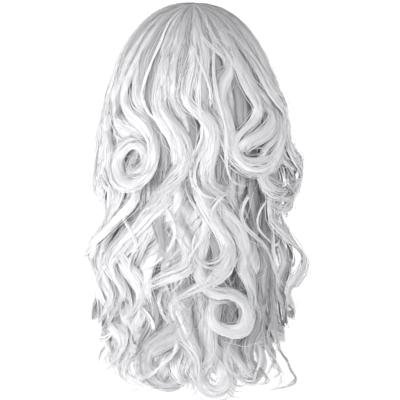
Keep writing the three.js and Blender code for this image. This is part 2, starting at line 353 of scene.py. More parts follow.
def partTresses(tier, rng):
    # divides every lock into tresses that keep together from root to tip
    locks = tier["locks"]
    loose = tier["loose"]
    roots = np.degrees([path["azimuth"][0] for path in tier["paths"][: len(locks)]])
    broad = np.flatnonzero(lockColumn(locks, "slim", 1) == 1)
    order = broad[np.argsort(roots[broad])]
    middles = (roots[order][1:] + roots[order][:-1]) / 2
    least = tressing["leastGap"]
    leftGap, rightGap = np.full(len(locks), least), np.full(len(locks), least)
    leftGap[order] = np.maximum(roots[order] - np.concatenate([[tier["fromAt"]], middles]), least)
    rightGap[order] = np.maximum(np.concatenate([middles, [tier["toAt"]]]) - roots[order], least)
    counts = np.maximum(1, np.round(tier["tresses"] * lockColumn(locks, "fullness", 1))).astype(int)
    lock = np.repeat(np.arange(len(locks)), counts)
    n = len(lock)
    place = np.concatenate([(np.arange(count) + 0.5) / count * 2 - 1 for count in counts])
    edge = place + rng.normal(0, tressing["edgeVary"], n)
    handed = np.where(lock % 2 == 0, 1, -1)
    # each lock's tone is a random tone plus its listed tone, which is painted light on lit locks and painted
    # shade on shadowed ones
    lockToneAndPaintedLight = rng.normal(0, tressing["lockToneVary"], len(locks))[lock] + lockColumn(locks, "tone")[lock]
    deep = rng.uniform(-tressing["deepVary"], tressing["deepVary"], n)
    # painted shade by depth: a tress lying deeper in its lock gets a darker tone
    paintedDepthShade = tressing["paintedDepthShade"] * deep
    spread = np.where(edge < 0, edge * leftGap[lock], edge * rightGap[lock])
    return dict(
        lock=lock,
        under=lockColumn(locks, "under")[lock],
        slim=lockColumn(locks, "slim", 1)[lock],
        crowd=1 - tressing["partingCrowd"] * partingShare(tier, roots[lock] + spread),
        shade=rng.uniform(*tressing["shades"], n),
        end=1 - np.minimum(np.abs(rng.normal(0, tressing["endVary"] * loose, n)), tressing["mostEnd"]),
        slide=rng.normal(0, tressing["slide"] * loose, n),
        edge=edge,
        spread=np.radians(spread),
        gathers=np.ones(n),
        u=edge * tressing["edgeReach"],
        v=tressing["height"] + deep,
        widen=lockColumn(locks, "widen", 1)[lock],
        over=lockColumn(locks, "over")[lock],
        lift=lockColumn(locks, "lift")[lock],
        bulge=tier["bulge"] * handed * rng.normal(1, tressing["bulgeVary"], n),
        sink=np.zeros(n),
        wander=np.abs(rng.normal(0, tressing["wander"] * loose, n)),
        wanderTurn=rng.uniform(0, 2 * math.pi, n),
        wanderLength=rng.uniform(*tressing["wanderLengths"], n),
        turnOver=rng.normal(*tressing["turnOver"], n),
        tone=tier["tone"] + lockToneAndPaintedLight + rng.normal(0, tressing["toneVary"], n) + paintedDepthShade,
    )


growing = dict(
    mostAside=3.0,
    asideShare=0.8,
    heights=(-0.3, 0.9),
    endVary=0.02,
    mostEnd=0.12,
    slide=1.5,
    tones=(-1.2, 0.8),
    toneOdds=(0.4, 0.6),
    frizz=0.5,
    frizzLengths=(35, 75),
    widths=(0.75, 1.25),
)


def growStrands(tier, tresses, kind, rng):
    # lays the strands of one kind along the tresses
    rule = strandKinds[kind]
    tress = np.repeat(np.arange(len(tresses["lock"])), rule["perTress"])
    turn = np.arange(len(tress)) % rule["perTress"]
    tress = tress[(tresses["under"][tress] == 0) | (turn < rule["underTress"])]
    if kind == "ribbon":
        tress = tress[tresses["slim"][tress] == 1]
    n = len(tress)
    loose = rule["loose"]
    strand = {name: value[tress].copy() for name, value in tresses.items()}
    ribbon = strandKinds["ribbon"]
    aside, above = np.zeros(n), np.zeros(n)
    if kind != "ribbon":
        most = growing["mostAside"]
        aside = np.clip(rng.normal(0, rule["scatter"], n), -most, most)
        aside = aside * growing["asideShare"] * ribbon["halfWidth"] * strand["slim"]
        above = ribbon["halfThick"] * np.sqrt(np.maximum(0, 1 - (aside / ribbon["halfWidth"]) ** 2))
        above = above + rng.uniform(*growing["heights"], n) * loose
    strand["start"] = rng.uniform(0, 1, n) ** 2 * tier["rootDrop"] * strand["crowd"]
    short = np.minimum(np.abs(rng.normal(0, growing["endVary"] * loose, n)), growing["mostEnd"])
    strand["end"] = strand["end"] - rule["short"] - short
    strand["slide"] = strand["slide"] + rng.normal(0, growing["slide"] * loose, n)
    strand["wander"] = strand["wander"] + rng.normal(0, loose, n)
    shade = rng.choice(growing["tones"], n, p=growing["toneOdds"])
    strand["tone"] = strand["tone"] + rule["tone"] + rule["vary"] * shade
    strand["aside"] = aside
    strand["above"] = above
    strand["frizz"] = np.abs(rng.normal(0, growing["frizz"] * loose, n))
    strand["frizzTurn"] = rng.uniform(0, 2 * math.pi, n)
    strand["frizzLength"] = rng.uniform(*growing["frizzLengths"], n)
    strand["halfWidth"] = rule["halfWidth"] * rng.uniform(*growing["widths"], n)
    strand["rises"] = np.full(n, float(kind == "stray"))
    if kind == "ribbon":
        strand["halfWidth"] = strand["halfWidth"] * tier["ribbonWidth"]
    strand["halfThick"] = np.full(n, rule["halfThick"])
    return strand


filling = dict(
    wave=120,
    spreadVary=1.0,
    ends=(0.86, 1.0),
    slide=12,
    wanderLengths=(95, 140),
    toneVary=0.07,
    frizz=0.8,
    widths=(0.8, 1.2),
    halfThick=0.9,
    none=("edge", "gathers", "u", "v", "over", "lift", "bulge", "turnOver", "aside", "above", "rises"),
)


def growFill(tier, rng):
    # the plain hair under the locks; its lower tone is painted shade where it shows in the gaps between them
    fill = tier["fill"]
    n = fill["count"]
    places = np.linspace(tier["fromAt"], tier["toAt"], n + 2)[1:-1]
    spread = places + rng.normal(0, filling["spreadVary"], n)
    return dict(
        {name: np.zeros(n) for name in filling["none"]},
        lock=np.full(n, len(tier["locks"])),
        shade=np.ones(n),
        widen=np.ones(n),
        spread=np.radians(spread),
        start=rng.uniform(0, fill["drop"], n),
        end=rng.uniform(*filling["ends"], n),
        slide=rng.normal(0, filling["slide"], n),
        sink=rng.uniform(fill["leastSink"], fill["mostSink"], n),
        wander=np.abs(rng.normal(0, fill["wander"], n)),
        wanderTurn=rng.uniform(0, 2 * math.pi, n),
        wanderLength=rng.uniform(*filling["wanderLengths"], n),
        tone=fill["tone"] + rng.normal(0, filling["toneVary"], n),
        frizz=np.abs(rng.normal(0, filling["frizz"], n)),
        frizzTurn=rng.uniform(0, 2 * math.pi, n),
        frizzLength=rng.uniform(*growing["frizzLengths"], n),
        halfWidth=fill["halfWidth"] * rng.uniform(*filling["widths"], n),
        halfThick=np.full(n, filling["halfThick"]),
    )


# sections across and outward: a strand has its base under and one ridge, a ribbon is a flat oval
strandSection = np.array([[-1.0, -0.5], [1.0, -0.5], [0.0, 1.0]])
ovalSides = 6
ovalTurns = 2 * math.pi * np.arange(ovalSides) / ovalSides
ribbonSection = np.stack([np.cos(ovalTurns), np.sin(ovalTurns)], 1)
tiny = 1e-9

# how a strand thins at its root and tip, where a stray leaves its lock, and the lean of faces across a lock
tubing = dict(rootShare=0.35, rootTaper=6, tipShare=0.06, strayRise=2, tressLean=0.3, strandLean=0.3)


def tubeArrays(tier, strand, rows, section):
    # strands closed at both ends, as arrays of rings
    points, outward, falls, turned, snug = strandPaths(tier, strand, rows)
    tangent = np.gradient(points, axis=1)
    tangent /= np.linalg.norm(tangent, axis=2, keepdims=True) + tiny
    across = np.cross(tangent, outward)
    across /= np.linalg.norm(across, axis=2, keepdims=True) + tiny
    out = np.cross(across, tangent)
    turn = (strand["turnOver"][:, None] * turned)[..., None]
    across, out = across * np.cos(turn) + out * np.sin(turn), out * np.cos(turn) - across * np.sin(turn)
    along = np.linspace(0, 1, rows + 1)
    taper = np.minimum(1, tubing["rootShare"] + along * tubing["rootTaper"])
    taper = taper * np.minimum(1, tubing["tipShare"] + (1 - along) * tier["tipTaper"])
    points = points + across * (strand["aside"][:, None] * taper * snug)[..., None]
    rise = 1 - strand["rises"][:, None] * (1 - smoothStep(along * tubing["strayRise"]))
    points = points + out * (strand["above"][:, None] * rise * taper)[..., None]
    wide = strand["halfWidth"][:, None] * taper * snug
    thick = strand["halfThick"][:, None] * taper
    rings = points[:, :, None, :]
    rings = rings + across[:, :, None, :] * (section[:, 0] * wide[:, :, None])[..., None]
    rings = rings + out[:, :, None, :] * (section[:, 1] * thick[:, :, None])[..., None]
    # painted shade: the hair is darkened towards its roots so the top of the crown is greyer, as if less lit;
    # each strand's random shade factor breaks it into darker streaks
    paintedRootShade = tier["paintedRootShade"] * (1 - smoothStep((falls - tier["root"]) / tier["paintedRootShadeFall"]))
    tone = np.clip(strand["tone"][:, None] - paintedRootShade * strand["shade"][:, None], 0, 1)
    length = np.linalg.norm(np.diff(points, axis=1), axis=2).sum(1)
    # a lock shades as one satin sheet: its strands lean with their place across it
    aside = tubing["tressLean"] * strand["aside"] / strandKinds["ribbon"]["halfWidth"]
    lean = (tier["lean"] * strand["u"] - aside)[:, None] - tubing["strandLean"] * section[:, 0]
    lean = lean[:, None, :, None]
    normals = out[:, :, None, :] * np.cos(lean) - across[:, :, None, :] * np.sin(lean)
    return rings, tone, length, normals


def tubeChunk(tier, strand, rows, section, firstVertex, firstStrand):
    # vertices and corners of strands that have the same number of rows
    rings, tone, length, normals = tubeArrays(tier, strand, rows, section)
    n, sides = len(rings), len(section)
    first = firstVertex + (np.arange(n) * (rows + 1) * sides)[:, None, None]
    row = (np.arange(rows) * sides)[None, :, None]
    side = np.arange(sides)[None, None, :]
    after = (side + 1) % sides
    quads = np.stack(
        [first + row + side, first + row + sides + side, first + row + sides + after, first + row + after], -1
    ).reshape(-1, 4)
    rootCaps = first[:, 0, :] + np.arange(sides)[None, :]
    tipCaps = first[:, 0, :] + rows * sides + np.arange(sides)[None, ::-1]
    sideOf = np.stack([side, side, side + 1, side + 1], -1)
    inward = section[:, 1] + np.roll(section[:, 1], -1) < 0
    vertices = rings.reshape(-1, 3)
    local = np.arange(len(vertices))
    return dict(
        vertices=vertices,
        normals=normals.reshape(-1, 3),
        tone=np.repeat(tone.ravel(), sides),
        strandOf=firstStrand + local // ((rows + 1) * sides),
        alongOf=local % ((rows + 1) * sides) // sides / rows,
        length=length,
        quads=quads,
        caps=np.concatenate([rootCaps, tipCaps]),
        quadSides=np.broadcast_to(sideOf, (n, rows, sides, 4)).reshape(-1),
        facing=np.tile(np.repeat(np.where(inward, -1.0, 1.0), 4), n * rows),
    )


def addObject(name, data):
    thing = bpy.data.objects.new(name, data)
    scene.collection.objects.link(thing)
    return thing


# the shift sets neighbours apart in the streaks, the margins keep strands apart in the bake
hairMaps = dict(strandShift=0.37, sideMargin=0.05, endMargin=0.03)


def strandPiece(name, tier, strands, section, material):
    # joins strands into one mesh, with a tone for each ring, a fibre map and a map for baking
    chunks = []
    vertexCount, strandCount = 0, 0
    for strand in strands:
        rowsOf = np.array([path["rows"] for path in tier["paths"]])[strand["lock"]]
        for rows in np.unique(rowsOf):
            alike = {key: value[rowsOf == rows] for key, value in strand.items()}
            chunk = tubeChunk(tier, alike, int(rows), section, vertexCount, strandCount)
            vertexCount += len(chunk["vertices"])
            strandCount += len(chunk["length"])
            chunks.append(chunk)
    whole = {key: np.concatenate([chunk[key] for chunk in chunks]) for key in chunks[0]}
    quads, caps, strandOf, alongOf = whole["quads"], whole["caps"], whole["strandOf"], whole["alongOf"]
    sides = len(section)
    mesh = bpy.data.meshes.new(name)
    mesh.vertices.add(vertexCount)
    mesh.vertices.foreach_set("co", (whole["vertices"] * mm).astype(np.float32).ravel())
    corners = np.concatenate([quads.ravel(), caps.ravel()])
    mesh.loops.add(len(corners))
    mesh.loops.foreach_set("vertex_index", corners.astype(np.int32))
    starts = np.concatenate([np.arange(len(quads)) * 4, len(quads) * 4 + np.arange(len(caps)) * sides])
    mesh.polygons.add(len(starts))
    mesh.polygons.foreach_set("loop_start", starts.astype(np.int32))
    mesh.polygons.foreach_set("use_smooth", np.ones(len(starts), bool))

    sideOf = np.concatenate([whole["quadSides"], np.tile(np.arange(sides), len(caps))]) / sides
    cornerStrand, cornerAlong = strandOf[corners], alongOf[corners]
    fibreU = sideOf + cornerStrand * hairMaps["strandShift"]
    fibreMap = np.stack([fibreU, cornerAlong * whole["length"][cornerStrand] * mm], 1)
    mesh.uv_layers.new(name="fibre").uv.foreach_set("vector", fibreMap.astype(np.float32).ravel())
    bands = max(1, round(math.sqrt(strandCount) / 2))
    perBand = math.ceil(strandCount / bands)
    sideMargin, endMargin = hairMaps["sideMargin"], hairMaps["endMargin"]
    bakeU = (cornerStrand % perBand + sideMargin + (1 - 2 * sideMargin) * sideOf) / perBand
    bakeV = (cornerStrand // perBand + endMargin + (1 - 2 * endMargin) * cornerAlong) / bands
    bakeMap = np.stack([bakeU, bakeV], 1)
    mesh.uv_layers.new(name="OFBake").uv.foreach_set("vector", bakeMap.astype(np.float32).ravel())
    tones = mesh.attributes.new("tone", "FLOAT", "POINT")
    tones.data.foreach_set("value", whole["tone"].astype(np.float32))
    mesh.update(calc_edges=True)
    facing = np.concatenate([whole["facing"], np.ones(caps.size)])[:, None]
    mesh.normals_split_custom_set((whole["normals"][corners] * facing).astype(np.float32))
    mesh.materials.append(material)
    piece = addObject(name, mesh)
    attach(piece, "root")
    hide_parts(tier["node"])
    print(f"{name}: {strandCount} strands, {len(quads) * 2 + len(caps) * (sides - 2)} triangles")


def setInputs(tree, node, values):
    # each input takes a value, or the output that feeds it
    for name, value in values.items():
        if isinstance(value, bpy.types.NodeSocket):
            tree.links.new(value, node.inputs[name])
        else:
            node.inputs[name].default_value = value


def addNode(tree, kind, values, **settings):
    node = tree.nodes.new("ShaderNode" + kind)
    for name, value in settings.items():
        setattr(node, name, value)
    setInputs(tree, node, values)
    return node


def newMaterial(name):
    material = bpy.data.materials.new(name)
    material.use_nodes = True
    return material, material.node_tree, material.node_tree.nodes["Principled BSDF"]


hairFinish = dict(
    lowlight=(0.39, 0.39, 0.41, 1),
    highlight=(0.89, 0.89, 0.905, 1),
    roughness=0.48,
    specular=0.35,
    sheen=0.15,
    fibreScale=(13.0, 5.0, 1.0),
    streakDetail=2.5,
    streakRoughness=0.65,
    streakTone=1.0,
    fibreBump=0.4,
    bumpDepth=0.0008,
)


def hairMaterial():
    # satin fibre: tone by strand, finer streaks along each strand
    material, tree, shader = newMaterial("silver_fibre")
    tone = addNode(tree, "Attribute", {}, attribute_name="tone")
    uv = addNode(tree, "UVMap", {}, uv_map="fibre")
    fibre = addNode(tree, "Mapping", {"Vector": uv.outputs["UV"], "Scale": hairFinish["fibreScale"]})
    grain = {
        "Vector": fibre.outputs["Vector"],
        "Scale": 1.0,
        "Detail": hairFinish["streakDetail"],
        "Roughness": hairFinish["streakRoughness"],
    }
    streak = addNode(tree, "TexNoise", grain, noise_dimensions="2D").outputs["Fac"]
    middle = {0: streak, 1: hairFinish["streakTone"], 2: -hairFinish["streakTone"] / 2}
    centred = addNode(tree, "Math", middle, operation="MULTIPLY_ADD")
    both = {0: tone.outputs["Fac"], 1: centred.outputs["Value"]}
    added = addNode(tree, "Math", both, operation="ADD", use_clamp=True)
    blend = {"Factor": added.outputs["Value"], "A": hairFinish["lowlight"], "B": hairFinish["highlight"]}
    colour = addNode(tree, "Mix", blend, data_type="RGBA")
    relief = {"Height": streak, "Strength": hairFinish["fibreBump"], "Distance": hairFinish["bumpDepth"]}
    bump = addNode(tree, "Bump", relief)
    setInputs(tree, shader, {
        "Base Color": colour.outputs["Result"],
        "Normal": bump.outputs["Normal"],
        "Roughness": hairFinish["roughness"],
        "Specular IOR Level": hairFinish["specular"],
        "Sheen Weight": hairFinish["sheen"],
    })
    return material


# what the tiers share, and the locks that chance lays under and over their main locks
tierRules = dict(
    waveFrom=0,
    edgeDrop=0.5,
    bulge=6.0,
    tresses=6,
    ribbonWidth=0.95,
    cornerRise=0.0,
    tipTaper=5.0,
    lean=0.7,
    # painted shade towards the roots, set again in some tiers
    paintedRootShade=0.15,
)
# each tier gives its deep locks a darker tone: painted shade where they show between the main locks
deepRule = dict(wave=(95, 135), stray=2, fullness=0.6, widen=1.3, slim=1, under=1)
wispRule = dict(wave=(85, 150), stray=4, fullness=0.17, widen=0.3, slim=0.35, under=0)

# dark locks as painted shade in the hollows between the locks, wide sheets that close the gaps under them,
# wisps over the crown
paintedHollowShade = dict(tone=-0.8, over=-3, under=1)
paintedShallowShade = dict(tone=-0.85, over=1, widen=0.8, under=1)
sheet = dict(over=-6, fullness=1, widen=1.5, under=1)
crownWisp = dict(over=7, tone=0.12, fullness=0.17, widen=0.3, slim=0.3)

# the top tier, from the parting over the crown to curls at half height
# tones listed on single locks are painted light and shade: raised on locks where the hair is lit brightest,
# lowered on dark locks laid where it lies in shadow
crownLocks = [
    dict(at=-138, length=300, swing=30, shift=10, wave=130, widen=1.3),
    dict(at=-124, length=312, swing=-32, shift=30, wave=125, widen=1.3, over=-3),
    dict(at=-111, length=308, swing=32, shift=16, wave=130, widen=1.3),
    dict(at=-98, length=316, swing=-34, shift=40, wave=120, widen=1.3, over=-3),
    dict(at=-85, length=312, swing=32, shift=20, wave=130, widen=1.2, over=-2),
    dict(trace=[(-75, 57), (-81, 87), (-83, 112), (-87, 132), (-85, 152), (-89, 172), (-94, 192),
        (-87, 209)]),
    dict(over=-3, trace=[(-65, 47), (-74, 72), (-80, 97), (-82, 120), (-86, 140), (-87, 165), (-80, 187),
        (-84, 205)]),
    dict(lift=-3, over=7, widen=0.62, trace=[(-55, 47), (-64, 72), (-69, 94), (-63, 110), (-50, 122),
        (-40, 138), (-38, 158), (-46, 175), (-60, 181), (-72, 172), (-75, 156), (-67, 142), (-55, 140),
        (-46, 150), (-46, 163), (-55, 170), (-63, 164), (-61, 155), (-54, 154), (-51, 160), (-55, 164)]),
    dict(over=-12, tone=-0.04, trace=[(-60, 57), (-71, 87), (-72, 112), (-68, 137), (-66, 162), (-62, 187)]),
    dict(over=1, tone=0.04, widen=0.7, trace=[(-62, 52), (-71, 78), (-77, 100), (-75, 117), (-64, 127),
        (-52, 135), (-44, 147), (-42, 161)]),
    dict(over=-1, widen=0.7, trace=[(-44, 32), (-51, 52), (-53, 72), (-53, 92), (-46, 108), (-38, 120)]),
    dict(paintedShallowShade, over=3, trace=[(-34, 37), (-38, 57), (-42, 77), (-43, 97), (-39, 113), (-32, 127),
        (-27, 142), (-26, 157), (-31, 172), (-42, 182)]),
    dict(over=4, widen=1.05, trace=[(-24, 37), (-29, 57), (-28, 75), (-32, 92), (-33, 105), (-27, 118),
        (-17, 132), (-10, 144), (-8, 157), (-13, 171), (-26, 184), (-45, 193)]),
    dict(over=2, trace=[(-12, 32), (-15, 57), (-16, 77), (-18, 95), (-14, 111), (-8, 127), (-5, 143),
        (-7, 159), (-14, 174), (-27, 187), (-44, 195)]),
    dict(over=4, tone=0.1, widen=0.75, trace=[(0, 32), (1, 57), (-3, 77), (-5, 94), (2, 108), (12, 120),
        (17, 134), (15, 149), (11, 162), (10, 177), (18, 189), (34, 196)]),
    dict(over=2, widen=0.5, trace=[(10, 32), (12, 55), (10, 73), (9, 89), (13, 105), (19, 119), (20, 135),
        (18, 150), (15, 165), (18, 178), (28, 187), (42, 193), (57, 192)]),
    dict(paintedHollowShade, widen=1.2, trace=[(12, 22), (18, 42), (23, 62), (23, 82), (20, 100), (22, 118), (25, 137),
        (27, 155), (28, 172), (25, 188), (27, 202)]),
    dict(paintedShallowShade, over=3, trace=[(-8, 57), (-12, 77), (-12, 97), (-5, 114), (0, 130), (0, 150), (-1, 170),
        (-2, 190), (0, 208)]),
    dict(over=1, tone=0.1, trace=[(22, 29), (34, 49), (38, 65), (31, 81), (27, 97), (31, 115), (34, 133),
        (39, 149), (49, 163), (64, 170), (79, 165)]),
    dict(paintedHollowShade, fullness=1.2, widen=1.1, trace=[(25, 32), (35, 52), (43, 72), (48, 92), (49, 112), (54, 132),
        (61, 149), (66, 164)]),
    dict(over=6, lift=2, tone=0.06, widen=0.5, fullness=0.7, trace=[(35, 29), (43, 50), (50, 70), (57, 87),
        (63, 99), (65, 110), (60, 120), (52, 127), (45, 134), (41, 143), (43, 153), (51, 160), (62, 161),
        (72, 155), (79, 144), (79, 131)]),
    dict(over=4, lift=2, tone=0.04, widen=0.5, fullness=0.7, trace=[(38, 29), (46, 50), (55, 69), (64, 85),
        (72, 98), (77, 111), (74, 122), (66, 130), (56, 136), (48, 143), (46, 152), (52, 160), (63, 165),
        (76, 160), (85, 147), (85, 132)]),
    dict(over=2, tone=0.06, fullness=0.7, widen=0.7, trace=[(60, 57), (70, 82), (77, 107), (77, 130),
        (80, 147), (90, 158), (101, 167), (106, 179)]),
    dict(over=4, tone=0.05, widen=1.3, trace=[(69, 57), (77, 82), (83, 107), (84, 132), (74, 155), (69, 170),
        (78, 181), (92, 187), (104, 183)]),
    dict(over=9, tone=0.11, trace=[(47, 29), (62, 52), (71, 73), (79, 92), (88, 107), (92, 122), (93, 138),
        (97, 152), (103, 164), (106, 177), (102, 190), (93, 200)]),
    dict(over=2, tone=-0.45, widen=0.5, fullness=0.7, trace=[(-70, 62), (-74, 80), (-73, 96), (-74, 110),
        (-78, 122)]),
    dict(tone=0.0, fullness=1.3, widen=1.3, trace=[(66, 60), (76, 90), (82, 120), (86, 140), (92, 155),
        (99, 167), (104, 180), (101, 192), (92, 199), (80, 197), (70, 188)]),
    dict(over=-3, tone=-0.25, widen=1.8, under=1, trace=[(72, 60), (81, 90), (86, 120), (90, 145), (94, 163),
        (95, 180), (92, 195), (88, 208)]),
    dict(crownWisp, trace=[(15, 9), (22, 22), (29, 35), (36, 46), (42, 60)]),
    dict(crownWisp, trace=[(10, 24), (16, 38), (24, 47), (32, 56), (36, 66), (33, 78)]),
    dict(crownWisp, trace=[(25, 12), (33, 18), (42, 25), (51, 36), (58, 50)]),
    dict(crownWisp, trace=[(42, 44), (53, 68), (65, 88), (75, 101), (83, 111), (88, 122), (88, 133)]),
    dict(crownWisp, trace=[(3, 50), (8, 66), (13, 80), (17, 96), (18, 112)]),
    dict(crownWisp, trace=[(-42, 60), (-46, 82), (-47, 96), (-42, 109), (-34, 121), (-25, 132)]),
    dict(crownWisp, trace=[(8, 120), (6, 135), (0, 149), (-7, 160), (-15, 170)]),
    dict(crownWisp, trace=[(28, 132), (30, 150), (34, 163), (40, 173), (50, 178), (62, 177)]),
    dict(over=3, tone=-0.7, fullness=0.34, widen=0.4, slim=0.6, trace=[(-1, 8), (-2, 20), (-3, 34),
        (-2, 50)]),
    dict(at=85, length=312, swing=32, shift=30, wave=120, widen=1.2, over=-2),
    dict(at=98, length=318, swing=-34, shift=20, wave=125, widen=1.3, over=-3),
    dict(at=111, length=308, swing=32, shift=16, wave=130, widen=1.3),
    dict(at=124, length=314, swing=-32, shift=40, wave=120, widen=1.3, over=-3),
    dict(at=138, length=300, swing=30, shift=10, wave=130, widen=1.3),
]
crownHair = dict(
    tierRules,
    node="crown_hair",
    layer="crown",
    root=-160.0,
    rootDrop=60.0,
    fromAt=-146,
    toAt=146,
    waveFrom=-70,
    gatherFrom=-60,
    gatherSpan=90,
    edgeDrop=2.5,
    bulge=5.0,
    ribbonWidth=1.0,
    lowest=215.0,
    loose=1.3,
    tipTaper=7.0,
    tone=0.89,
    paintedRootShade=0.5,
    paintedRootShadeFall=210,
    parting=dict(backY=-30, frontY=76, fromAt=55, toAt=134),
    sections=dict(along=[0, 0.3, 0.5, 0.88, 1], width=[4, 7.5, 9.5, 10, 5], thick=[2, 3, 4.5, 4.5, 2.5]),
    # the crown's fill is toned darkest: painted shade in the gaps between the locks
    fill=dict(count=150, tone=0.6, length=290, swing=15, wander=4,
              drop=10, leastSink=4, mostSink=8, halfWidth=3.0),
    deep=dict(deepRule, count=14, length=310, swing=(12, 28), hook=(20, 60), over=(-9, -5), tone=-0.14),
    wisps=dict(wispRule, count=16, clear=78, length=330, swing=(18, 40), hook=(60, 220), over=(2, 6),
               tone=0.05, widen=0.4),
    locks=crownLocks,
)

# the second tier, round the back of the head under the crown tier
# tones listed on single locks are painted light and shade: the left-hand locks and sheets are lighter where
# the lamp from the left falls, dark locks lie where the hair is in shadow
middleLocks = [
    dict(at=-92, length=315, swing=-40, shift=40, wave=130, widen=1.4),
    dict(tone=0.18, trace=[(-75, 202), (-83, 222), (-93, 240), (-89, 259), (-75, 275), (-69, 293),
        (-77, 309)]),
    dict(over=-6, tone=0.04, widen=0.9, trace=[(-58, 202), (-66, 222), (-72, 240), (-66, 258), (-56, 274),
        (-52, 292), (-60, 308), (-72, 319)]),
    dict(over=2, tone=0.15, trace=[(-28, 195), (-41, 209), (-55, 227), (-71, 245), (-81, 263), (-75, 281),
        (-65, 295)]),
    dict(over=5, tone=0.12, trace=[(-15, 193), (-25, 209), (-40, 224), (-54, 238), (-67, 250), (-79, 259),
        (-88, 268)]),
    dict(over=6, tone=0.1, fullness=0.7, widen=0.6, trace=[(-58, 200), (-73, 218), (-87, 232), (-98, 243),
        (-105, 254), (-103, 265), (-94, 269)]),
    dict(tone=0.18, trace=[(-40, 200), (-56, 216), (-70, 232), (-82, 247), (-91, 262), (-92, 278),
        (-84, 290)]),
    dict(tone=0.18, trace=[(-78, 222), (-88, 242), (-93, 262), (-88, 281), (-82, 298), (-88, 314),
        (-95, 327)]),
    dict(lift=2, fullness=0.3, widen=0.3, trace=[(-52, 200), (-60, 225), (-73, 248), (-89, 262), (-101, 268),
        (-106, 277), (-103, 285)]),
    dict(over=1, tone=0.06, trace=[(-21, 202), (-17, 222), (-7, 240), (-3, 255), (-11, 267), (-27, 273),
        (-43, 281), (-56, 293)]),
    dict(over=4, tone=0.05, widen=0.8, trace=[(7, 185), (14, 204), (25, 222), (35, 240), (37, 255), (29, 268),
        (15, 279), (-1, 288), (-18, 297), (-31, 308)]),
    dict(over=2, lift=-4, tone=0.06, widen=0.4, trace=[(19, 212), (10, 237), (6, 259), (10, 277), (23, 289),
        (40, 291), (53, 299), (56, 313), (49, 326), (35, 328), (23, 320), (20, 308), (27, 299), (39, 299),
        (47, 307)]),
    dict(over=-1, trace=[(23, 197), (35, 214), (45, 230), (52, 247), (50, 265), (57, 282), (59, 302),
        (55, 322)]),
    dict(over=-4, tone=-0.04, trace=[(37, 197), (47, 219), (55, 237), (59, 255), (57, 273), (63, 291),
        (69, 309), (65, 327)]),
    dict(paintedHollowShade, widen=1.5, fullness=1.3, trace=[(73, 202), (76, 227), (75, 249), (72, 269), (69, 289),
        (71, 309), (73, 327)]),
    dict(paintedShallowShade, trace=[(60, 190), (62, 205), (63, 220), (62, 235)]),
    dict(paintedShallowShade, trace=[(18, 228), (24, 240), (28, 252), (26, 264), (18, 276), (10, 288), (8, 302)]),
    dict(tone=-0.45, over=3, widen=0.4, fullness=0.6, trace=[(-36, 194), (-44, 206), (-53, 219), (-60, 232)]),
    dict(paintedShallowShade, over=3, trace=[(-33, 200), (-33, 218), (-30, 235), (-28, 252), (-27, 268)]),
    dict(tone=-0.12, widen=0.7, under=1, trace=[(-43, 230), (-50, 246), (-56, 262), (-60, 278)]),
    dict(sheet, tone=0.18, trace=[(-84, 215), (-92, 240), (-96, 262), (-90, 285), (-86, 305), (-92, 325)]),
    dict(sheet, tone=0.15, trace=[(-62, 225), (-72, 245), (-78, 265), (-70, 285), (-64, 305), (-68, 322)]),
    dict(sheet, tone=0.0, trace=[(-36, 240), (-42, 256), (-46, 272), (-44, 290), (-40, 306), (-44, 322)]),
    dict(sheet, tone=-0.1, trace=[(-18, 245), (-20, 262), (-24, 280), (-20, 298), (-16, 316)]),
    dict(over=-3, tone=-0.04, trace=[(83, 219), (87, 242), (91, 265), (85, 287), (88, 307), (90, 325)]),
    dict(over=10, fullness=0.6, widen=0.5, trace=[(77, 212), (89, 227), (103, 240), (109, 252), (104, 267),
        (95, 280), (96, 294), (100, 306), (95, 319)]),
    dict(at=92, length=315, swing=40, shift=40, wave=130, widen=1.4),
]
middleHair = dict(
    tierRules,
    node="middle_hair",
    layer="middle",
    root=-30.0,
    rootDrop=40.0,
    fromAt=-98,
    toAt=98,
    gatherFrom=0,
    gatherSpan=90,
    edgeDrop=1.0,
    lowest=310.0,
    loose=0.9,
    # a little above the crown tier's tone, as is the nape's: painted light, the lower hair lighter
    tone=0.91,
    paintedRootShade=0.2,
    paintedRootShadeFall=120,
    sections=dict(along=[0, 0.35, 0.6, 0.88, 1], width=[6, 7.5, 8, 6.5, 2.5], thick=[1.6, 3, 3.5, 3.5, 2]),
    fill=dict(count=70, tone=0.82, length=290, swing=28, wander=7,
              drop=30, leastSink=8, mostSink=12, halfWidth=2.6),
    deep=dict(deepRule, count=12, length=335, swing=(30, 50), hook=(60, 160), over=(-11, -6), tone=-0.2),
    wisps=dict(wispRule, count=14, length=360, swing=(30, 50), hook=(80, 260), over=(2, 5), tone=0.08),
    locks=middleLocks,
)
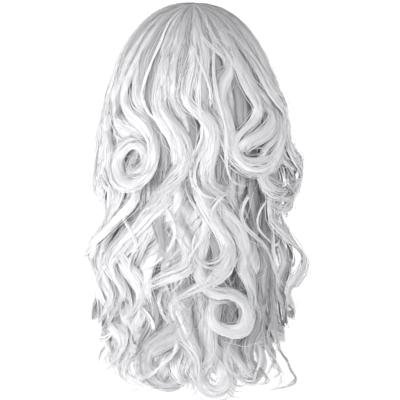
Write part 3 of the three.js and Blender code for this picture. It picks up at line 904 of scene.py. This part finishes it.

# the longest tier, sewn round the nape
# tones listed on single locks are painted light and shade: the left-hand locks and sheets are lighter where
# the lamp from the left falls, dark locks lie where the hair is in shadow
napeLocks = [
    dict(at=-101, length=410, swing=-34, shift=60, wave=125, hook=300, hookLength=120, widen=1.3),
    dict(at=-88, length=398, swing=-40, shift=40, wave=120, hook=310, hookLength=120, widen=1.3),
    dict(over=-6, tone=-0.03, fullness=0.8, trace=[(-62, 300), (-58, 325), (-64, 350), (-58, 372),
        (-52, 386)]),
    dict(paintedShallowShade, trace=[(-39, 262), (-40, 280), (-42, 297), (-45, 312)]),
    dict(sheet, tone=0.16, trace=[(-78, 300), (-84, 318), (-82, 336), (-76, 354), (-80, 372)]),
    dict(sheet, tone=0.0, trace=[(-52, 300), (-56, 320), (-60, 338), (-56, 356), (-50, 374), (-38, 384)]),
    dict(sheet, tone=-0.15, trace=[(-24, 310), (-26, 328), (-32, 346), (-34, 362), (-26, 378)]),
    dict(sheet, tone=0.18, trace=[(70, 325), (74, 342), (82, 356), (84, 369), (75, 379), (61, 384)]),
    dict(paintedShallowShade, trace=[(-25, 270), (-22, 288), (-23, 305), (-27, 322), (-26, 338)]),
    dict(paintedShallowShade, trace=[(-9, 285), (-7, 302), (-6, 318), (-5, 333)]),
    dict(paintedShallowShade, over=5, trace=[(-40, 318), (-47, 332), (-53, 346), (-49, 360), (-39, 368)]),
    dict(paintedShallowShade, trace=[(-16, 325), (-14, 340), (-14, 356)]),
    dict(sheet, tone=-0.3, trace=[(14, 300), (16, 320), (18, 340), (19, 358), (19, 374), (20, 388)]),
    dict(over=2, tone=0.18, trace=[(-90, 288), (-85, 303), (-79, 319), (-82, 336), (-88, 352)]),
    dict(paintedShallowShade, trace=[(38, 312), (34, 330), (33, 346), (37, 360)]),
    dict(paintedShallowShade, trace=[(55, 318), (50, 332), (45, 344), (42, 358)]),
    dict(over=-6, tone=-0.03, fullness=0.8, trace=[(-40, 290), (-35, 315), (-42, 340), (-36, 362),
        (-40, 380)]),
    dict(over=-6, tone=-0.03, fullness=0.8, trace=[(30, 295), (36, 320), (30, 345), (35, 368), (30, 386)]),
    dict(over=-6, tone=-0.03, fullness=0.8, trace=[(70, 290), (66, 315), (71, 338), (66, 358), (70, 376)]),
    dict(fullness=0.4, widen=0.6, tone=0.18, trace=[(-83, 297), (-92, 315), (-90, 331), (-81, 345),
        (-76, 359), (-85, 370), (-96, 379)]),
    dict(tone=0.18, trace=[(-73, 297), (-77, 317), (-69, 335), (-75, 353), (-71, 371), (-59, 381)]),
    dict(over=2, trace=[(-68, 282), (-60, 302), (-65, 319), (-55, 335), (-43, 342), (-51, 355), (-63, 363),
        (-69, 375)]),
    dict(over=-2, trace=[(-55, 282), (-43, 302), (-37, 319), (-45, 335), (-60, 347), (-69, 359), (-66, 373),
        (-51, 382), (-31, 388), (-11, 386)]),
    dict(over=1, trace=[(-28, 267), (-32, 287), (-27, 305), (-15, 319), (-7, 335), (-4, 353), (-10, 369),
        (-7, 382), (1, 378)]),
    dict(over=4, trace=[(-8, 287), (-17, 303), (-12, 319), (-5, 335), (3, 349), (6, 365), (-1, 379)]),
    dict(over=4, lift=-5, tone=-0.5, trace=[(-7, 297), (-9, 315), (-16, 329), (-31, 339), (-44, 349),
        (-48, 363), (-41, 376), (-27, 382), (-15, 376), (-12, 364), (-19, 354), (-29, 356), (-32, 365),
        (-26, 371)]),
    dict(over=2, lift=-4, trace=[(-15, 297), (-7, 315), (-13, 333), (-17, 351), (-16, 368), (-9, 380),
        (0, 378), (2, 368), (-4, 362)]),
    dict(over=-3, trace=[(-43, 297), (-53, 315), (-57, 333), (-49, 349), (-53, 367), (-43, 381), (-30, 385)]),
    dict(tone=0.05, trace=[(7, 282), (9, 302), (11, 322), (9, 342), (3, 359), (5, 375), (14, 385),
        (21, 378)]),
    dict(over=-2, trace=[(12, 297), (5, 315), (12, 332), (19, 349), (12, 367), (7, 381), (16, 389)]),
    dict(over=-2, trace=[(47, 297), (53, 315), (47, 332), (42, 349), (50, 365), (61, 377), (54, 387)]),
    dict(over=3, lift=-4, trace=[(21, 317), (19, 337), (24, 353), (33, 365), (33, 379), (23, 388), (13, 383),
        (12, 373), (20, 368), (27, 374), (23, 381), (18, 377)]),
    dict(over=-3, trace=[(37, 322), (33, 342), (39, 359), (42, 375), (53, 384), (65, 381)]),
    dict(over=9, tone=-0.7, fullness=0.4, widen=0.3, trace=[(65, 317), (57, 335), (56, 350), (63, 361),
        (73, 370), (75, 377), (67, 381), (53, 381), (42, 381)]),
    dict(over=2, trace=[(82, 302), (88, 317), (84, 331), (69, 337), (55, 343), (47, 355), (50, 369)]),
    dict(over=8, tone=-0.4, fullness=0.3, widen=0.2, slim=0.6, trace=[(78, 312), (79, 328), (84, 342),
        (92, 353), (98, 365), (98, 374), (93, 381), (84, 386), (72, 388), (60, 388)]),
    dict(at=88, length=398, swing=40, shift=40, wave=120, hook=-310, hookLength=120, widen=1.3),
    dict(at=101, length=410, swing=34, shift=60, wave=125, hook=-300, hookLength=120, widen=1.3),
]
napeHair = dict(
    tierRules,
    node="nape_hair",
    layer="nape",
    root=12.0,
    rootDrop=20.0,
    fromAt=-107,
    toAt=107,
    waveFrom=50,
    gatherFrom=60,
    gatherSpan=120,
    lowest=372.0,
    cornerRise=24.0,
    loose=1.0,
    tone=0.9,
    paintedRootShadeFall=160,
    sections=dict(along=[0, 0.4, 0.72, 0.92, 1], width=[6, 7, 7.5, 6, 2.5], thick=[1.2, 3, 3.5, 3.5, 2]),
    fill=dict(count=80, tone=0.84, length=300, swing=30, wander=7,
              drop=20, leastSink=8, mostSink=14, halfWidth=2.8),
    deep=dict(deepRule, count=18, length=475, swing=(35, 55), hook=(120, 260), over=(-11, -5), tone=-0.18),
    wisps=dict(wispRule, count=14, length=480, swing=(35, 55), hook=(120, 300), over=(2, 5), tone=0.08),
    locks=napeLocks,
)

# the locks in front of the right ear; the left side mirrors them
rightSideLocks = [
    dict(at=104, length=430, swing=-34, shift=20, wave=125, hook=-300, hookLength=130, widen=1.2),
    dict(at=116, length=430, swing=36, shift=40, wave=130, hook=-320, hookLength=130, widen=1.3),
    dict(at=129, length=425, swing=34, shift=40, wave=130, hook=300, hookLength=130, widen=1.3),
    dict(at=143, length=410, swing=30, shift=40, wave=130, hook=-300, hookLength=130, widen=1.3),
]
rightSideHair = dict(
    tierRules,
    node="right_side_hair",
    layer="side",
    root=-16.0,
    rootDrop=30.0,
    fromAt=98,
    toAt=149,
    gatherFrom=20,
    gatherSpan=100,
    ribbonWidth=0.9,
    lowest=345.0,
    loose=1.2,
    tipTaper=4.0,
    tone=0.88,
    lean=0.8,
    paintedRootShadeFall=140,
    sections=dict(along=[0, 0.35, 0.6, 0.88, 1], width=[7, 10, 14, 11, 4], thick=[1.6, 5, 7, 7, 3]),
    fill=dict(count=34, tone=0.84, length=270, swing=28, wander=6,
              drop=20, leastSink=8, mostSink=13, halfWidth=2.6),
    deep=dict(deepRule, count=2, length=380, swing=(40, 55), hook=(160, 300), over=(-9, -4), tone=-0.05),
    wisps=dict(wispRule, count=3, length=400, swing=(35, 60), hook=(160, 340), over=(2, 6),
               tone=0.05, widen=0.4, slim=0.5),
    locks=rightSideLocks,
)
leftSideHair = dict(
    rightSideHair,
    node="left_side_hair",
    fromAt=-rightSideHair["toAt"],
    toAt=-rightSideHair["fromAt"],
    locks=[
        dict(lock, at=-lock["at"], swing=-lock["swing"], hook=-lock["hook"])
        for lock in reversed(rightSideLocks)
    ],
)


def dressTier(tier, seed, material):
    rng = np.random.default_rng(seed)
    name = tier["node"]
    fill = tier["fill"]
    straight = dict(at=0, length=fill["length"], swing=fill["swing"], shift=0, wave=filling["wave"])
    for rule in (tier["deep"], tier["wisps"]):
        tier["locks"] = tier["locks"] + chanceLocks(tier, rule, rng)
    tier["paths"] = [lockPath(tier, lock) for lock in tier["locks"] + [straight]]
    tresses = partTresses(tier, rng)
    ribbons = growStrands(tier, tresses, "ribbon", rng)
    strandPiece(name + "_locks", tier, [ribbons], ribbonSection, material)
    under = growFill(tier, rng)
    strands = growStrands(tier, tresses, "strand", rng)
    strandPiece(name + "_strands", tier, [under, strands], strandSection, material)
    fibres = growStrands(tier, tresses, "fibre", rng)
    strays = growStrands(tier, tresses, "stray", rng)
    strandPiece(name + "_fibres", tier, [fibres, strays], strandSection, material)


silverFibre = hairMaterial()
firstSeed = 11
for seed, tier in enumerate([crownHair, middleHair, napeHair, leftSideHair, rightSideHair], firstSeed):
    dressTier(tier, seed, silverFibre)
print("hair done")


capCloth = dict(
    wall=1.6,
    columns=96,
    rows=30,
    rimY=[-140, -100, -64, -36, -14, 11, 27, 43, 56, 70, 90, 130],
    rimZ=[-123, -123, -116, -101, -89, -92, -105, -104, -86, -58, -38, -34],
    skirtTuck=0.06,
    skirtDrop=40.0,
    skirtRadius=90,
    leastPolar=0.3,
    mostPolar=math.pi / 2 + 0.44,
    halvings=30,
    topPolar=0.004,
    weldGap=0.0002,
    mapAround=0.08,
    mapDown=0.09,
    colour=(0.62, 0.61, 0.60, 1),
    thread=(0.80, 0.79, 0.78, 1),
    roughness=0.8,
    sheen=0.3,
    meshScale=400,
    threadWidth=0.12,
    weftScale=26,
    weftWaver=0.6,
    weftBump=0.5,
    weftDepth=0.001,
)


def capSection(polar):
    # share of the head's width and height of the cap at a way down from its top
    down = max(0.0, polar - math.pi / 2) * capCloth["skirtRadius"]
    reach = math.sin(min(polar, math.pi / 2)) - capCloth["skirtTuck"] * down / capCloth["skirtDrop"]
    rise = math.cos(min(polar, math.pi / 2))
    return reach, rise, down


def capPoint(azimuth, polar):
    reach, rise, down = capSection(polar)
    inset = capCloth["wall"]
    x = (headForm["halfWidth"] - inset) * reach * math.sin(azimuth)
    y = -(headForm["halfDepth"] - inset) * reach * math.cos(azimuth)
    z = headForm["widestZ"] + (headForm["topZ"] - inset - headForm["widestZ"]) * rise - down
    return Vector((x, y, z))


def rimPolar(azimuth):
    # the way down to the cut edge on this side of the cap
    low, high = capCloth["leastPolar"], capCloth["mostPolar"]
    for _ in range(capCloth["halvings"]):
        polar = (low + high) / 2
        point = capPoint(azimuth, polar)
        if point.z > np.interp(point.y, capCloth["rimY"], capCloth["rimZ"]):
            low = polar
        else:
            high = polar
    return low


def capMaterial():
    # thin net cloth with rows of sewn wefts
    material, tree, shader = newMaterial("cap_net")
    uv = addNode(tree, "UVMap", {}, uv_map="cloth").outputs["UV"]
    net = {
        "Vector": uv,
        "Color1": capCloth["colour"],
        "Color2": capCloth["colour"],
        "Mortar": capCloth["thread"],
        "Scale": capCloth["meshScale"],
        "Mortar Size": capCloth["threadWidth"],
    }
    weave = addNode(tree, "TexBrick", net)
    rows = {"Vector": uv, "Scale": capCloth["weftScale"], "Distortion": capCloth["weftWaver"]}
    wefts = addNode(tree, "TexWave", rows, wave_type="BANDS", bands_direction="Y").outputs["Fac"]
    blend = {"Factor": wefts, "A": weave.outputs["Color"], "B": capCloth["thread"]}
    colour = addNode(tree, "Mix", blend, data_type="RGBA")
    relief = {"Height": wefts, "Strength": capCloth["weftBump"], "Distance": capCloth["weftDepth"]}
    bump = addNode(tree, "Bump", relief)
    setInputs(tree, shader, {
        "Base Color": colour.outputs["Result"],
        "Normal": bump.outputs["Normal"],
        "Roughness": capCloth["roughness"],
        "Sheen Weight": capCloth["sheen"],
    })
    return material


def makeCap():
    columns, rows = capCloth["columns"], capCloth["rows"]
    form = bmesh.new()
    cloth = form.loops.layers.uv.new("cloth")
    bmesh.ops.create_grid(form, x_segments=columns, y_segments=rows, size=1)
    top = capCloth["topPolar"]
    polars = {}
    places = {}
    for vert in form.verts:
        column = round((vert.co.x + 1) / 2 * columns)
        down = (1 - vert.co.y) / 2
        azimuth = 2 * math.pi * column / columns
        if column not in polars:
            polars[column] = rimPolar(azimuth)
        places[vert] = (azimuth, top + (polars[column] - top) * down)
    for vert, (azimuth, polar) in places.items():
        vert.co = capPoint(azimuth, polar) * mm
    for face in form.faces:
        for loop in face.loops:
            azimuth, polar = places[loop.vert]
            loop[cloth].uv = (azimuth * capCloth["mapAround"], polar * capCloth["mapDown"])
    bmesh.ops.remove_doubles(form, verts=form.verts, dist=capCloth["weldGap"])
    bmesh.ops.recalc_face_normals(form, faces=form.faces)
    bmesh.ops.solidify(form, geom=form.faces[:], thickness=capCloth["wall"] * mm)
    for face in form.faces:
        face.smooth = True
    mesh = bpy.data.meshes.new("cap_cloth")
    form.to_mesh(mesh)
    form.free()
    mesh.materials.append(capMaterial())
    piece = addObject("cap_cloth", mesh)
    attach(piece, "root")
    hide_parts("cap")
    print(f"cap_cloth: {len(mesh.polygons)} faces")


makeCap()


studio = dict(
    floorDrop=0.06,
    floorRadius=2.5,
    floorSides=96,
    floorColour=(0.93, 0.93, 0.93, 1),
    floorRoughness=0.9,
    floorGlow=0.5,
    skyColour=(1, 1, 1, 1),
    skyStrength=1.16,
    skyOverhead=0.45,
    skyFrom=0.2,
    skyTo=0.9,
    lampAim=(0, 0, -0.25),
    keyPlace=(-0.8, -2.1, 0.05),
    keySize=0.9,
    keyPower=9.5,
    sidePlace=(-1.5, -0.9, -0.42),
    sideSize=0.8,
    sidePower=13.0,
)


def aimAt(thing, target):
    way = Vector(target) - thing.location
    thing.rotation_euler = way.to_track_quat("-Z", "Y").to_euler()


def makeStudio():
    floorForm = bmesh.new()
    sides, radius = studio["floorSides"], studio["floorRadius"]
    bmesh.ops.create_circle(floorForm, cap_ends=True, segments=sides, radius=radius)
    bmesh.ops.translate(floorForm, verts=floorForm.verts, vec=(0, 0, cadLow.z - studio["floorDrop"]))
    mesh = bpy.data.meshes.new("floor")
    floorForm.to_mesh(mesh)
    floorForm.free()
    paint, tree, shader = newMaterial("floor_paint")
    setInputs(tree, shader, {
        "Base Color": studio["floorColour"],
        "Roughness": studio["floorRoughness"],
        "Emission Color": studio["floorColour"],
        "Emission Strength": studio["floorGlow"],
    })
    mesh.materials.append(paint)
    floor = addObject("floor", mesh)
    sky = bpy.data.worlds.new("studio_sky")
    sky.use_nodes = True
    tree = sky.node_tree
    way = addNode(tree, "TexCoord", {})
    height = addNode(tree, "SeparateXYZ", {"Vector": way.outputs["Generated"]})
    fade = {
        "Value": height.outputs["Z"],
        "From Min": studio["skyFrom"],
        "From Max": studio["skyTo"],
        "To Min": studio["skyStrength"],
        "To Max": studio["skyOverhead"],
    }
    dim = addNode(tree, "MapRange", fade)
    glow = {"Strength": dim.outputs["Result"], "Color": studio["skyColour"]}
    setInputs(tree, tree.nodes["Background"], glow)
    scene.world = sky
    for name in ("key", "side"):
        lamp = bpy.data.lights.new(name, "AREA")
        lamp.size = studio[name + "Size"]
        lamp.energy = studio[name + "Power"]
        light = addObject(name, lamp)
        light.location = studio[name + "Place"]
        aimAt(light, studio["lampAim"])
    scene.view_settings.view_transform = "Standard"


makeStudio()

# the photograph's view: from behind, a little above the middle of the wig
cameraPlace = dict(distance=2.3, elevation=3.0, sensor=36, frameWidth=0.5, aimX=0.00875, aimZ=-0.230)


def makeCamera():
    lens = bpy.data.cameras.new("camera")
    lens.sensor_width = cameraPlace["sensor"]
    lens.lens = cameraPlace["sensor"] * cameraPlace["distance"] / cameraPlace["frameWidth"]
    camera = addObject("camera", lens)
    tilt = math.radians(cameraPlace["elevation"])
    target = Vector((cameraPlace["aimX"], 0, cameraPlace["aimZ"]))
    camera.location = target + Vector((0, -math.cos(tilt), math.sin(tilt))) * cameraPlace["distance"]
    aimAt(camera, target)
    scene.camera = camera


makeCamera()
print("studio and camera done")

bpy.context.view_layer.update()
